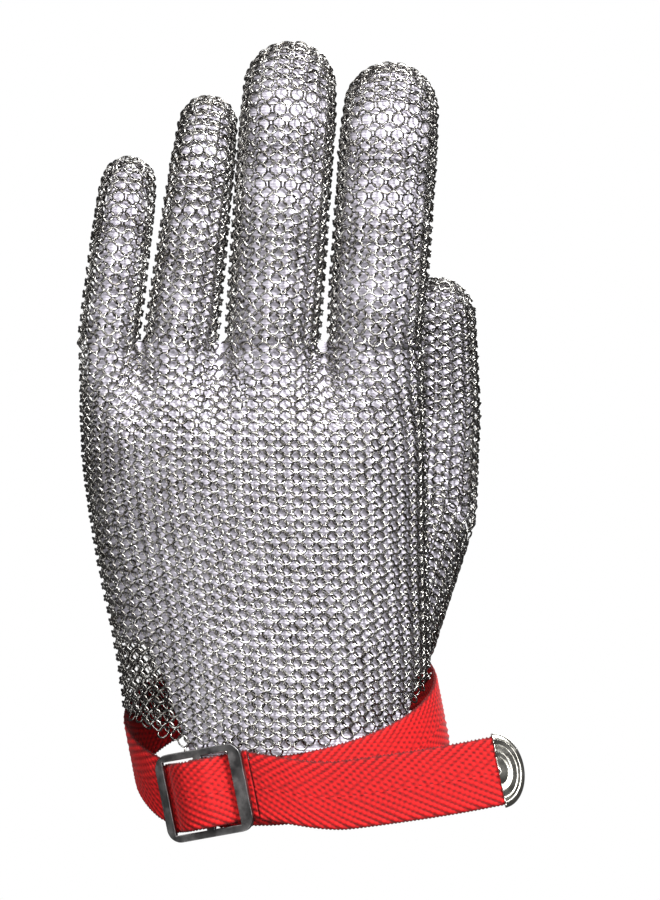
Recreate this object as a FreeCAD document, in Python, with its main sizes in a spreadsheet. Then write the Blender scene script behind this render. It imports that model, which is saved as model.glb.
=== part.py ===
"""A chain mail glove for the left hand, over a thin knitted liner and closed by a webbing strap.

Frame: millimetres, +Z from the wrist to the fingertips, -Y out of the back of the hand, +X on the thumb side.
The origin is the middle of the wrist opening. The mail is thousands of linked rings, so each mail solid here
stands for the rings of one panel or one finger section, as thick as the linked rings are.
A finger bends at three knuckles, so its tube is cut there, mitred on the sides that close.
"""

import FreeCAD, Part
import math
import os
from FreeCAD import Placement, Rotation, Vector

doc = FreeCAD.newDocument("chain_mail_glove")
sheet = doc.addObject("Spreadsheet::Sheet", "sizes")

# One driving size a line: its name, then millimetres or degrees.
DRIVING = """
mail_wall 1.8
liner_gap 0.4
liner_wall 0.8
joint_gap 0.5
palm_top 112.5
hem_height 20.3
hem_radius 29.5
hem_slope 0.14
liner_cuff 33
proximal_curl 5
middle_curl 10
tip_curl 15
base_bend 50
middle_bend 60
tip_share 0.5
pivot_share 0.1
index_place 25.6
index_lean 4
index_base 12.8
index_knuckle 13.3
index_middle 13.2
index_tip 13.2
index_dome 12.6
index_root_length 14
index_proximal_length 24
index_middle_length 19.5
index_tip_length 21.2
middle_place -2.2
middle_lean 3.9
middle_base 13
middle_knuckle 13.1
middle_middle 13.1
middle_tip 13.1
middle_dome 12.5
middle_root_length 14
middle_proximal_length 27
middle_middle_length 21
middle_tip_length 23
ring_place -27.2
ring_lean 7
ring_base 10.4
ring_knuckle 10.1
ring_middle 9.4
ring_tip 8.8
ring_dome 8
ring_root_length 11.5
ring_proximal_length 22
ring_middle_length 17.5
ring_tip_length 19.6
little_place -46.8
little_lean 7
little_base 8.2
little_knuckle 8.2
little_middle 8
little_tip 7.8
little_dome 7.2
little_root_length 9.5
little_proximal_length 15.5
little_middle_length 12.5
little_tip_length 15.2
thumb_heel_radius 15
thumb_base_radius 13.6
thumb_knuckle_radius 12.3
thumb_tip_radius 11.4
thumb_dome_radius 10.6
thumb_spread 35
thumb_bend 40
strap_width 19
strap_thickness 1.3
strap_height 8
strap_slope_side 0.15
strap_slope_back 0.5
strap_lean_side 0.2
loop_centre_side 1.6
loop_centre_depth -1
loop_half_width 43.3
loop_half_depth 30.5
layer_gap 0.3
slider_length 26
slider_bar 2.4
slider_wide_bar 3.8
slider_rail 2
slider_sheet 1.4
slider_corner 4
slider_play 0.5
slider_angle 237
tail_gap 1
tail_tip_length 5.5
tail_tip_sheet 0.6
keeper_wire 1.2
keeper_angle 17
"""
for row, line in enumerate(DRIVING.split("\n")[1:-1], start=1):
    alias, value = line.split()
    sheet.set(f"A{row}", alias)
    sheet.set(f"B{row}", value)
    sheet.setAlias(f"B{row}", alias)
doc.recompute()

BIG = 200
FINGERS = ("index", "middle", "ring", "little")
TOWARDS_PALM = Vector(-1, 0, 0)
REACH = 3
ROOT_SINK = 12
FORM_POINTS = 24
RIBBON_POINTS = 140
LOOP_POINTS = 36
LEAVES_SLIDER = 13
MEETS_SLIDER = 22
TIP_OVERLAP = 1.5
KEEPER_REACH = 3
FOLD_END = 14
PARTS = []
ROOT_NOTCHES = {}


def size(alias):
    return float(sheet.get(alias))


def feature(name, shape, placement=None):
    """A document object that holds a shape made with Part's own functions."""
    item = doc.addObject("Part::Feature", name)
    item.Label = name
    item.Shape = shape
    if placement:
        item.Placement = placement
    return item


def bound(kind, name, placement, **sizes):
    """A Part primitive whose dimensions are expressions on the sheet."""
    item = doc.addObject(kind, name)
    item.Label = name
    for key, expression in sizes.items():
        item.setExpression(key, expression)
    item.Placement = placement
    return item


def cut(name, base, tools):
    """The base with each tool taken off it in turn."""
    for count, tool in enumerate(tools, start=1):
        last = count == len(tools)
        item = doc.addObject("Part::Cut", name if last else f"{name}_cut_{count}")
        item.Label = item.Name
        item.Base = base
        item.Tool = tool
        base = item
    return base


# ---------------------------------------------------------------- knuckles
MAIL = ("mail", "0", "sizes.mail_wall")
LINER = (
    "liner",
    "(sizes.mail_wall + sizes.liner_gap)",
    "(sizes.mail_wall + sizes.liner_gap + sizes.liner_wall)",
)
FLIP = Placement(Vector(0, 0, 0), Rotation(Vector(0, 1, 0), 180))


def notch(close, open_up):
    """What lies beyond a mitred tube end: the end dips by one angle on the palm side and one on the back."""
    half_gap = size("joint_gap") / 2
    dip = BIG * math.tan(math.radians(close))
    rise = BIG * math.tan(math.radians(open_up))
    corners = [(0, -half_gap), (BIG, -half_gap - dip), (BIG, BIG), (-BIG, BIG), (-BIG, -half_gap - rise)]
    points = [Vector(-BIG / 2, y, z) for y, z in corners + corners[:1]]
    return Part.Face(Part.makePolygon(points)).extrude(Vector(BIG, 0, 0))


def described(place, axis):
    return f"pivot {place.x:.3f} {place.y:.3f} {place.z:.3f} axis {axis.x:.5f} {axis.y:.5f} {axis.z:.5f}"


def knuckle(name, lower, length, radius, curl, bend):
    """A knuckle's two cutters, for the section below it and the one above, and the upper section's frame."""
    pivot = Vector(0, size("pivot_share") * radius, length)
    bisector = lower * Placement(pivot, Rotation(TOWARDS_PALM, curl / 2))
    below = feature(f"{name}_notch_below", notch(bend / 2, curl / 2), bisector)
    above = feature(f"{name}_notch_above", notch(bend / 2, curl / 2), bisector * FLIP)
    axis = lower.Rotation.multVec(TOWARDS_PALM)
    place = bisector.Base
    print(f"{name}: {described(place, axis)}")
    return below, above, lower * Placement(Vector(0, 0, length), Rotation(TOWARDS_PALM, curl))


def tube(name, frame, low, high, length, inset, dome=None):
    """A solid tapered tube, run past both ends so that the notches trim it, or closed by a dome."""
    start = frame * Placement(Vector(0, 0, -REACH), Rotation())
    top = f"sizes.{length} - sizes.{dome} + {REACH}" if dome else f"sizes.{length} + {2 * REACH}"
    radii = {"Radius1": f"sizes.{low} - {inset}", "Radius2": f"sizes.{high} - {inset}"}
    cone = bound("Part::Cone", f"{name}_cone", start, Height=top, **radii)
    if not dome:
        return cone
    centre = frame * Placement(Vector(0, 0, size(length) - size(dome)), Rotation())
    ball = bound("Part::Sphere", f"{name}_ball", centre, Radius=f"sizes.{dome} - {inset}")
    whole = doc.addObject("Part::Fuse", f"{name}_solid")
    whole.Base = cone
    whole.Tool = ball
    return whole


def sections(name, frame, low, high, length, cutters, dome=None):
    """One finger section: the mail tube and, inside it, the liner's."""
    for layer, outer, inner in (MAIL, LINER):
        label = f"{layer}_{name}"
        skin = tube(f"{label}_outer", frame, low, high, length, outer, dome)
        hollow = tube(f"{label}_inner", frame, low, high, length, inner, dome)
        PARTS.append(cut(label, skin, [hollow] + cutters))


def finger(name):
    """The three moving sections of a finger, from the knuckle above its root out to the tip."""
    lean = Rotation(Vector(0, 1, 0), size(f"{name}_lean"))
    root = Placement(Vector(size(f"{name}_place"), 0, size("palm_top")), lean)
    base, middle = size("base_bend"), size("middle_bend")
    spot = (root, size(f"{name}_root_length"), size(f"{name}_knuckle"))
    below, above, frame = knuckle(f"{name}_base", *spot, size("proximal_curl"), base)
    ROOT_NOTCHES[name] = below.Shape
    spot = (frame, size(f"{name}_proximal_length"), size(f"{name}_middle"))
    trim, upper, following = knuckle(f"{name}_middle", *spot, size("middle_curl"), middle)
    radii = (f"{name}_knuckle", f"{name}_middle", f"{name}_proximal_length")
    sections(f"{name}_proximal", frame, *radii, [above, trim])
    spot = (following, size(f"{name}_middle_length"), size(f"{name}_tip"))
    trim, last, end = knuckle(f"{name}_tip", *spot, size("tip_curl"), middle * size("tip_share"))
    radii = (f"{name}_middle", f"{name}_tip", f"{name}_middle_length")
    sections(f"{name}_middle", following, *radii, [upper, trim])
    sections(f"{name}_tip", end, f"{name}_tip", f"{name}_dome", f"{name}_tip_length", [last], f"{name}_dome")


# ---------------------------------------------------------------- thumb
THUMB_HEEL = Vector(27, 4, 32)
THUMB_BASE = Vector(40, 30, 66)
THUMB_KNUCKLE = Vector(42.6, 40, 95)
THUMB_TIP = Vector(43, 46, 120.4)


def aimed(start, end, bend_side):
    """A frame at one point with Z towards the next, and Y turned to the side that the joint closes on."""
    along = (end - start).normalize()
    side = (bend_side - along * bend_side.dot(along)).normalize()
    return Placement(start, Rotation(side.cross(along), side, along, "ZXY"))


def thumb():
    """The thumb's two moving sections. Its base swings out to the side, its knuckle bends to the fingers."""
    half_turn = math.degrees((THUMB_BASE - THUMB_HEEL).getAngle(THUMB_KNUCKLE - THUMB_BASE)) / 2
    outwards = Vector(1, 0, 0)
    frame = aimed(THUMB_BASE, THUMB_KNUCKLE, outwards)
    middle_line = (THUMB_BASE - THUMB_HEEL).normalize() + (THUMB_KNUCKLE - THUMB_BASE).normalize()
    bisector = aimed(THUMB_BASE, THUMB_BASE + middle_line, outwards)
    wedge = notch(size("thumb_spread") / 2, 0)
    ROOT_NOTCHES["thumb"] = feature("thumb_base_notch_below", wedge, bisector).Shape
    above = feature("thumb_base_notch_above", wedge, bisector * FLIP)
    axis = bisector.Rotation.multVec(TOWARDS_PALM)
    print(f"thumb_base: turn {half_turn:.2f} axis {axis.x:.5f} {axis.y:.5f} {axis.z:.5f}")

    to_fingers = Vector(-0.35, -1, 0)
    upper = aimed(THUMB_KNUCKLE, THUMB_TIP, to_fingers)
    middle_line = (THUMB_KNUCKLE - THUMB_BASE).normalize() + (THUMB_TIP - THUMB_KNUCKLE).normalize()
    bisector = aimed(THUMB_KNUCKLE, THUMB_KNUCKLE + middle_line, to_fingers)
    wedge = notch(size("thumb_bend") / 2, 0)
    trim = feature("thumb_tip_notch_below", wedge, bisector)
    last = feature("thumb_tip_notch_above", wedge, bisector * FLIP)
    axis = bisector.Rotation.multVec(TOWARDS_PALM)
    print(f"thumb_tip: axis {axis.x:.5f} {axis.y:.5f} {axis.z:.5f}")
    proximal = (THUMB_KNUCKLE - THUMB_BASE).Length
    distal = (THUMB_TIP - THUMB_KNUCKLE).Length + size("thumb_dome_radius")
    sheet.set("C1", str(proximal))
    sheet.setAlias("C1", "thumb_proximal_length")
    sheet.set("C2", str(distal))
    sheet.setAlias("C2", "thumb_tip_length")
    doc.recompute()
    radii = ("thumb_base_radius", "thumb_knuckle_radius", "thumb_proximal_length")
    sections("thumb_proximal", frame, *radii, [above, trim])
    radii = ("thumb_tip_radius", "thumb_dome_radius", "thumb_tip_length")
    sections("thumb_tip", upper, *radii, [last], "thumb_dome_radius")


# ---------------------------------------------------------------- palm
# Height, left edge, right edge, back, palm side and squareness of the hand's form, from the wrist up.
FORM = (
    (-1.5, -41, 40, -34, 26, 2),
    (27, -44.6, 41, -29, 25.5, 2.1),
    (52, -49.6, 40.5, -24, 22.5, 2.3),
    (78, -53.6, 40, -21.5, 21, 2.6),
    (100, -54.6, 39.6, -18, 17.5, 2.7),
    (112.5, -54.4, 39.8, -13.5, 13.5, 2.7),
)


def form_outline(height, left, right, back, front, power, inset):
    """A rounded oval: a superellipse whose sides pull in by the inset."""
    wide = (right - left) / 2 - inset
    deep = (front - back) / 2 - inset
    middle = Vector((left + right) / 2, (front + back) / 2, height)
    points = []
    for step in range(FORM_POINTS):
        angle = 2 * math.pi * step / FORM_POINTS
        across = math.copysign(abs(math.cos(angle)) ** (2 / power), math.cos(angle))
        through = math.copysign(abs(math.sin(angle)) ** (2 / power), math.sin(angle))
        points.append(middle + Vector(wide * across, deep * through, 0))
    curve = Part.BSplineCurve()
    curve.interpolate(points, PeriodicFlag=True)
    return Part.Wire([curve.toShape()])


def palm_form(inset):
    """The closed form of the palm; its bottom runs past the hem and its top drops by the inset."""
    rows = [list(row) for row in FORM]
    rows[0][0] -= 2 * inset
    rows[-1][0] = size("palm_top") - inset
    return Part.makeLoft([form_outline(*row, inset) for row in rows], True)


def taper(low, high, height):
    """A cone, or a cylinder where both ends are the same."""
    if abs(low - high) < 1e-6:
        return Part.makeCylinder(low, height)
    return Part.makeCone(low, high, height)


def hand_form(inset, trimmed):
    """The palm, finger roots and heel of the thumb, pulled in by the inset, with trimmed or long ends."""
    shape = palm_form(inset)
    for name in FINGERS:
        start = Placement(Vector(size(f"{name}_place"), 0, size("palm_top")), Rotation())
        lean = Rotation(Vector(0, 1, 0), size(f"{name}_lean"))
        start = start * Placement(Vector(0, 0, 0), lean) * Placement(Vector(0, 0, -ROOT_SINK), Rotation())
        radii = (size(f"{name}_base") - inset, size(f"{name}_knuckle") - inset)
        root = taper(*radii, ROOT_SINK + size(f"{name}_root_length") + REACH)
        root.Placement = start
        shape = shape.fuse(root.cut(ROOT_NOTCHES[name]) if trimmed else root)
    along = THUMB_BASE - THUMB_HEEL
    radii = (size("thumb_heel_radius") - inset, size("thumb_base_radius") - inset)
    heel = Part.makeCone(*radii, along.Length + REACH, THUMB_HEEL, along)
    if trimmed:
        heel = heel.cut(ROOT_NOTCHES["thumb"])
    ball = Part.makeSphere(radii[0], THUMB_HEEL)
    return shape.fuse(heel).fuse(ball).removeSplitter()


def hem_cutter():
    """Rounds the hem off below: a long roller across the wrist, lower on the little finger's side."""
    tilt = math.degrees(math.atan(size("hem_slope")))
    middle = Vector(0, (FORM[0][3] + FORM[0][4]) / 2, size("hem_height") - size("hem_radius"))
    sideways = Placement(Vector(-BIG / 2, 0, 0), Rotation())
    place = Placement(middle, Rotation(Vector(0, -1, 0), tilt)) * sideways
    roller = Part.makeCylinder(size("hem_radius"), BIG, Vector(0, 0, 0), Vector(1, 0, 0))
    roller.Placement = place
    return roller


def palm():
    """The back and palm panels of mail, which meet down both sides, and the liner's hand."""
    skin = size("mail_wall") + size("liner_gap")
    mail = hand_form(0, True).cut(hand_form(size("mail_wall"), False)).cut(hem_cutter())
    liner = hand_form(skin, True).cut(hand_form(skin + size("liner_wall"), False))
    below_cuff = Part.makeBox(BIG, BIG, BIG, Vector(-BIG / 2, -BIG / 2, size("liner_cuff") - BIG))
    liner = liner.cut(below_cuff)
    back_half = Part.makeBox(BIG, BIG, 2 * BIG, Vector(-BIG / 2, -BIG, -BIG))
    strap_room = feature("strap_room", band_solid(size("layer_gap")).fuse(slider_room()))
    back = feature("back_blank", mail.common(back_half))
    front = feature("palm_blank", mail.cut(back_half))
    PARTS.append(cut("mail_back_panel", back, [strap_room]))
    PARTS.append(cut("mail_palm_panel", front, [strap_room]))
    PARTS.append(cut("liner_hand", feature("liner_blank", liner), [strap_room]))


# ---------------------------------------------------------------- strap and slider
def loop_point(angle, out):
    """A point of the strap's loop seen from above, moved outwards. 270 degrees is the middle of the back."""
    across = (size("loop_half_width") + out) * math.cos(math.radians(angle))
    through = (size("loop_half_depth") + out) * math.sin(math.radians(angle))
    return Vector(size("loop_centre_side") + across, size("loop_centre_depth") + through, 0)


def strap_direction():
    return Vector(-size("strap_lean_side"), 0, 1)


def strap_slab(width, lift=0):
    """The slab between the strap's two edges, which lie in two parallel slanting planes."""
    side, back = size("strap_slope_side"), size("strap_slope_back")
    normal = Vector(-side, -back, 1)
    upright = Rotation(Vector(0, 0, 1), normal)
    across = strap_direction()
    thick = width * across.dot(normal) / (across.Length * normal.Length)
    box = Part.makeBox(2 * BIG, 2 * BIG, thick, Vector(-BIG, -BIG, -thick / 2))
    box.Placement = Placement(Vector(0, 0, size("strap_height") + lift), upright)
    return box


def woven(face, width=None, lift=0):
    """Webbing, or a plate on it, from its outline seen from above."""
    face.translate(strap_direction() * -BIG / 2 + Vector(0, 0, size("strap_height")))
    tall = face.extrude(strap_direction() * BIG)
    return tall.common(strap_slab(width or size("strap_width"), lift))


def ribbon(points, thick):
    """The outline of a strip of even thickness along a smooth line through the points."""
    line = Part.BSplineCurve()
    line.interpolate(points)
    half = thick / 2
    sides = []
    for sign in (1, -1):
        edge_points = []
        for step in range(RIBBON_POINTS):
            share = step / (RIBBON_POINTS - 1)
            spot = line.FirstParameter + (line.LastParameter - line.FirstParameter) * share
            ahead = line.tangent(spot)[0]
            edge_points.append(line.value(spot) + Vector(ahead.y, -ahead.x, 0) * half * sign)
        side = Part.BSplineCurve()
        side.interpolate(edge_points)
        sides.append(side)
    edges = [side.toShape() for side in sides]
    edges.append(Part.makeLine(sides[0].StartPoint, sides[1].StartPoint))
    edges.append(Part.makeLine(sides[0].EndPoint, sides[1].EndPoint))
    return Part.Face(Part.Wire(Part.__sortEdges__(edges)))


def slider_frame():
    """The slider seen from above: X runs along the strap to the tail, Y points out of the strap."""
    place = loop_point(size("slider_angle"), 0)
    ahead = (loop_point(size("slider_angle") + 1, 0) - loop_point(size("slider_angle") - 1, 0)).normalize()
    outwards = Vector(ahead.y, -ahead.x, 0)
    return place, ahead, outwards


def at_slider(along, out):
    place, ahead, outwards = slider_frame()
    return place + ahead * along + outwards * out


def slider_depths():
    """How far out each layer lies at the slider, measured from the middle of the loop's webbing."""
    step = size("strap_thickness") + size("layer_gap")
    sheet_start = step + size("strap_thickness") / 2 + size("layer_gap")
    return step, sheet_start


def slider_place():
    """The slider's frame on the strap: X along it to the tail, Y into the glove, Z across the strap."""
    place, ahead, _ = slider_frame()
    return on_strap(place, ahead)


def across_slider(points, width):
    """Webbing drawn in the slider's own plan, from points given along the strap and out of it."""
    face = ribbon([Vector(along, -out, 0) for along, out in points], size("strap_thickness"))
    face.translate(Vector(0, 0, -width / 2))
    strip = face.extrude(Vector(0, 0, width))
    strip.Placement = slider_place() * strip.Placement
    return strip


def band_solid(extra):
    """The loop round the wrist, from the sewn end under the slider all the way round to its narrow bar."""
    step, _ = slider_depths()
    first = size("slider_angle") + LEAVES_SLIDER
    turn = 360 - LEAVES_SLIDER - MEETS_SLIDER
    points = [at_slider(1.5, step), at_slider(5, step / 3)]
    points += [loop_point(first + turn * count / LOOP_POINTS, 0) for count in range(LOOP_POINTS + 1)]
    points += [at_slider(-13.4, step * 0.9), at_slider(-12, step)]
    return woven(ribbon(points, size("strap_thickness") + 2 * extra), size("strap_width") + 2 * extra)


def fold_solid():
    """The webbing that comes up between the slider's bars, over the middle one and under the wide one."""
    step, sheet_start = slider_depths()
    webbing = 1.5 * size("strap_thickness") + size("layer_gap")
    crest = sheet_start + size("slider_sheet") / 2 + bar_reach() + webbing
    rising = [(-12.6, step), (-10.2, step + 0.1), (-7.6, crest - 2.8), (-4, crest - 0.4), (0, crest)]
    falling = [(3, crest - 0.6), (5, crest - 2.6), (7, step + 0.8), (8.8, step), (11.4, step - 0.1)]
    return across_slider(rising + falling + [(FOLD_END, step)], size("strap_width"))


def slider_room():
    """The space that the slider, and the webbing in it, takes from the hem of the mail."""
    clear = 2 * size("layer_gap")
    step, _ = slider_depths()
    long = size("slider_length") + 12 * clear
    tall = size("strap_width") + 2 * (size("slider_play") + size("slider_rail") + clear)
    room = Part.makeBox(long, 6 * step, tall)
    room.translate(Vector(-long / 2 + 4 * clear, -6.2 * step, -tall / 2))
    room.Placement = slider_place() * room.Placement
    return room


def bar_reach():
    """From the middle of the slider's bar to the face of the webbing that is sewn round it."""
    return math.hypot(size("slider_bar"), size("slider_sheet")) / 2 + size("slider_play") / 2


def sewn_end():
    """The webbing's fixed end, sewn in a loop round the slider's middle bar."""
    _, sheet_start = slider_depths()
    centre = sheet_start + size("slider_sheet") / 2
    radius = bar_reach() + size("strap_thickness") / 2
    turns = [math.radians(angle) for angle in range(-60, 241, 20)]
    points = [(radius * math.cos(turn), centre + radius * math.sin(turn)) for turn in turns]
    return across_slider(points, size("strap_width"))


def strap_axes(ahead):
    """The strap's own directions where it heads this way: along it, into the glove and across it."""
    rise = size("strap_slope_side") * ahead.x + size("strap_slope_back") * ahead.y
    upward = strap_direction().normalize()
    run = Vector(ahead.x, ahead.y, rise)
    run = (run - upward * run.dot(upward)).normalize()
    return Rotation(run, upward.cross(run), upward, "XZY")


def on_strap(spot, ahead):
    """The frame on the strap's middle line that leans away from a point of its plan."""
    side, back = size("strap_slope_side"), size("strap_slope_back")
    across = strap_direction()
    rise = (side * spot.x + back * spot.y) / (1 - side * across.x - back * across.y)
    return Placement(spot + Vector(0, 0, size("strap_height")) + across * rise, strap_axes(ahead))


def slide_buckle():
    """The flat three-bar slider: a rounded plate with two windows, the bar next to the tail wider."""
    _, sheet_start = slider_depths()
    frame = slider_place()
    tall = "(sizes.strap_width + 2 * sizes.slider_play + 2 * sizes.slider_rail)"
    window = "(sizes.strap_width + 2 * sizes.slider_play)"
    height = size("strap_width") + 2 * size("slider_play")
    outer_height = height + 2 * size("slider_rail")
    half = size("slider_length") / 2
    depth = -sheet_start - size("slider_sheet")
    corner = frame * Placement(Vector(-half, depth, -outer_height / 2), Rotation())
    sizes_out = {"Length": "sizes.slider_length", "Width": "sizes.slider_sheet", "Height": tall}
    plate = bound("Part::Box", "slider_plate", corner, **sizes_out)
    doc.recompute()
    rounded = doc.addObject("Part::Fillet", "slider_rounded")
    rounded.Base = plate
    edges = [number for number, edge in enumerate(plate.Shape.Edges, start=1) if runs_along(edge, frame)]
    rounded.Edges = [(number, size("slider_corner"), size("slider_corner")) for number in edges]
    narrow = frame * Placement(Vector(-half + size("slider_bar"), depth - 1, -height / 2), Rotation())
    sizes_out = {
        "Length": "sizes.slider_length / 2 - 1.5 * sizes.slider_bar",
        "Width": "sizes.slider_sheet + 2",
        "Height": window,
    }
    first = bound("Part::Box", "slider_window_left", narrow, **sizes_out)
    wide = frame * Placement(Vector(size("slider_bar") / 2, depth - 1, -height / 2), Rotation())
    sizes_out["Length"] = "sizes.slider_length / 2 - sizes.slider_bar / 2 - sizes.slider_wide_bar"
    second = bound("Part::Box", "slider_window_right", wide, **sizes_out)
    PARTS.append(cut("slide_buckle", rounded, [first, second]))


def runs_along(edge, frame):
    """Whether an edge runs through the slider's sheet."""
    through = frame.Rotation.multVec(Vector(0, 1, 0))
    ends = edge.Vertexes[1].Point - edge.Vertexes[0].Point
    return abs(ends.normalize().dot(through)) > 0.99


TAIL_ROUTE = ((-2, -36.6), (12, -38.2), (28, -38.8), (44, -38.6), (58, -37.6))


def tail():
    """The free end of the strap from under the slider's wide bar, and the pressed metal tip on it."""
    step, _ = slider_depths()
    begin = at_slider(FOLD_END + size("tail_gap"), step)
    points = [begin, at_slider(FOLD_END + 3.2, step)] + [Vector(x, y, 0) for x, y in TAIL_ROUTE]
    PARTS.append(feature("strap_tail", woven(ribbon(points, size("strap_thickness")))))
    last, before = points[-1], points[-2]
    ahead = (last - before).normalize()
    frame = on_strap(last, ahead)
    half_width = size("strap_width") / 2 + size("tail_tip_sheet")
    slot_wide = size("strap_thickness") + size("layer_gap")
    thick = slot_wide + 2 * size("tail_tip_sheet")
    reach = size("tail_tip_length")
    mouth = Part.makeLine((0, 0, half_width), (0, 0, -half_width))
    solid = Part.Face(Part.Wire([half_oval(half_width, reach), mouth])).extrude(Vector(0, thick, 0))
    solid.translate(Vector(-TIP_OVERLAP, -thick / 2, 0))
    slot_tall = size("strap_width") + size("layer_gap")
    slot = Part.makeBox(TIP_OVERLAP + 0.1, slot_wide, slot_tall)
    slot.translate(Vector(-TIP_OVERLAP, -slot_wide / 2, -slot_tall / 2))
    solid = solid.cut(slot)
    PARTS.append(feature("strap_tip", solid, frame))
    hinge = on_strap(begin, ahead)
    axis = hinge.Rotation.multVec(Vector(0, 0, -1))
    place = hinge.Base
    print(f"tail_swing: {described(place, axis)}")


def half_oval(half_width, reach):
    """The rounded outline of the strap's tip, from its top corner to its bottom one."""
    arc = Part.Ellipse(Vector(0, 0, half_width), Vector(reach + TIP_OVERLAP, 0, 0), Vector(0, 0, 0))
    return Part.ArcOfEllipse(arc, 0, math.pi).toShape()


def keepers():
    """Three wire rings that hold the strap to the palm side of the wrist."""
    wire = size("keeper_wire")
    clear = size("strap_thickness") / 2 + size("layer_gap")
    tall = size("strap_width") + 2 * size("layer_gap")
    rings = []
    for count in (-1, 0, 1):
        angle = 90 + count * size("keeper_angle")
        place = loop_point(angle, 0)
        ahead = (loop_point(angle + 1, 0) - loop_point(angle - 1, 0)).normalize()
        frame = on_strap(place, ahead)
        deep = clear + KEEPER_REACH
        outside = Part.makeBox(wire, deep + 2 * wire, tall + 2 * wire)
        outside.translate(Vector(-wire / 2, -clear - wire, -tall / 2 - wire))
        window = Part.makeBox(3 * wire, deep, tall)
        window.translate(Vector(-1.5 * wire, -clear, -tall / 2))
        rings.append(turned(outside.cut(window), frame))
    PARTS.append(feature("strap_keepers", Part.makeCompound(rings)))


def turned(shape, placement):
    copy = shape.copy()
    copy.Placement = placement
    return copy


def strap():
    PARTS.append(feature("strap_band", band_solid(0).fuse(fold_solid()).fuse(sewn_end())))
    slide_buckle()
    tail()
    keepers()


for digit in FINGERS:
    finger(digit)
thumb()
palm()
strap()
doc.recompute()

os.makedirs("parts", exist_ok=True)
for item in doc.Objects:
    if "Invalid" in item.State or "Error" in item.State:
        raise RuntimeError(f"{item.Label} has failed: {item.State}")
for item in PARTS:
    if item.Shape.isNull() or not item.Shape.isValid():
        raise RuntimeError(f"{item.Label} has no valid shape")
for item in PARTS:
    item.Shape.exportStep(f"parts/{item.Label}.step")
    print(f"{item.Label}: {len(item.Shape.Solids)} solid, {item.Shape.Volume:.1f} mm3")
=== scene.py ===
# %% [markdown]
# # A chain mail glove
# Butchers wear this glove on the hand that holds the meat. It is thousands of welded steel rings, each
# linked to four others, over a thin knitted liner, with a red webbing strap and a flat slider at the
# wrist. The frame holds the sizes, the bodies and the joints. Everything here is built round it, in
# metres.

# %% Load the frame
import math
import random

import bmesh
import bpy
import numpy as np
from mathutils import Matrix, Vector
from mathutils.bvhtree import BVHTree


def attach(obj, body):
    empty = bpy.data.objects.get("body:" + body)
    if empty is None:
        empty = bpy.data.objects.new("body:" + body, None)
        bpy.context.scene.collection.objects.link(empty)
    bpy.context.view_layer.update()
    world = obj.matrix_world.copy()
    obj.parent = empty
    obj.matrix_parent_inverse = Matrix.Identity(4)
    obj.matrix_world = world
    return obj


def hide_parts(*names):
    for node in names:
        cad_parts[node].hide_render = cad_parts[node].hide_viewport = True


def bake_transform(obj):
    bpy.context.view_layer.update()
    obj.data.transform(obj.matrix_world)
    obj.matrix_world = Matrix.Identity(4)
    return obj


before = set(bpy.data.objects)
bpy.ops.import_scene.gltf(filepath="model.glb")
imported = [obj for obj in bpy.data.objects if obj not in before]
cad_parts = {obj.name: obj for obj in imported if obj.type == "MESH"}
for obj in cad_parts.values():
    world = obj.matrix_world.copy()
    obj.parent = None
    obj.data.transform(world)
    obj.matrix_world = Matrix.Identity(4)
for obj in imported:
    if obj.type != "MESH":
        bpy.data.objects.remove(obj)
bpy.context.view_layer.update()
MM = 0.001

# %% [markdown]
# ## The camera
# A long lens far away keeps the fingers straight and the palm flat, as in a catalogue picture. The camera
# is level with the middle of the glove and looks square at the back of the hand. It aims a little to the
# thumb's side, because the strap's tail reaches out there and the whole object has to sit in the middle.

# %% Camera
VIEW_CENTRE = Vector((13.5, -15, 83.7)) * MM
VIEW_HEIGHT = 243 * MM
CAMERA_DISTANCE = 2.4
lens_data = bpy.data.cameras.new("camera")
lens_data.sensor_width = 36
lens_data.lens = lens_data.sensor_width * CAMERA_DISTANCE / VIEW_HEIGHT
lens_data.clip_end = 20


def add_object(name, data):
    """A new object with this data, linked to the scene."""
    made = bpy.data.objects.new(name, data)
    bpy.context.collection.objects.link(made)
    return made


camera = add_object("camera", lens_data)
camera.location = VIEW_CENTRE + Vector((0, -CAMERA_DISTANCE, 0))
camera.rotation_euler = (math.pi / 2, 0, 0)
bpy.context.scene.camera = camera
print("lens", round(lens_data.lens), "mm")

# %% [markdown]
# ## Node helpers
# An effect that several finishes share is a shader node group with named sockets. Small helpers keep the
# wiring short: they make a node, join nodes by the names of their sockets, set up a colour ramp, open or
# use a group, and start a material.


# %% Node helpers
def add_node(tree, kind, **values):
    """A node of this kind; a value is set on the input of that name, or on the property of that name."""
    node = tree.nodes.new(kind)
    for key, value in values.items():
        name = key.replace("_", " ")
        if name in node.inputs:
            node.inputs[name].default_value = value
        else:
            setattr(node, key, value)
    return node


def wire(tree, *links):
    """Joins each (node, output name, node, input name)."""
    for source, output, target, entry in links:
        tree.links.new(source.outputs[output], target.inputs[entry])


def add_ramp(tree, low, high, middle=None, at=0.5):
    """A colour ramp between two colours, with a third one between them if it is given."""
    ramp = add_node(tree, "ShaderNodeValToRGB")
    ramp.color_ramp.elements[0].color = (*low, 1)
    ramp.color_ramp.elements[1].color = (*high, 1)
    if middle:
        ramp.color_ramp.elements.new(at).color = (*middle, 1)
    return ramp


def open_group(name, inputs, outputs):
    """A shader node group with float inputs, their defaults, and outputs given with their socket kinds."""
    tree = bpy.data.node_groups.new(name, "ShaderNodeTree")
    for label, default in inputs.items():
        socket = tree.interface.new_socket(label, in_out="INPUT", socket_type="NodeSocketFloat")
        socket.default_value = default
    for label, kind in outputs.items():
        tree.interface.new_socket(label, in_out="OUTPUT", socket_type=kind)
    return tree, tree.nodes.new("NodeGroupInput"), tree.nodes.new("NodeGroupOutput")


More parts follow.
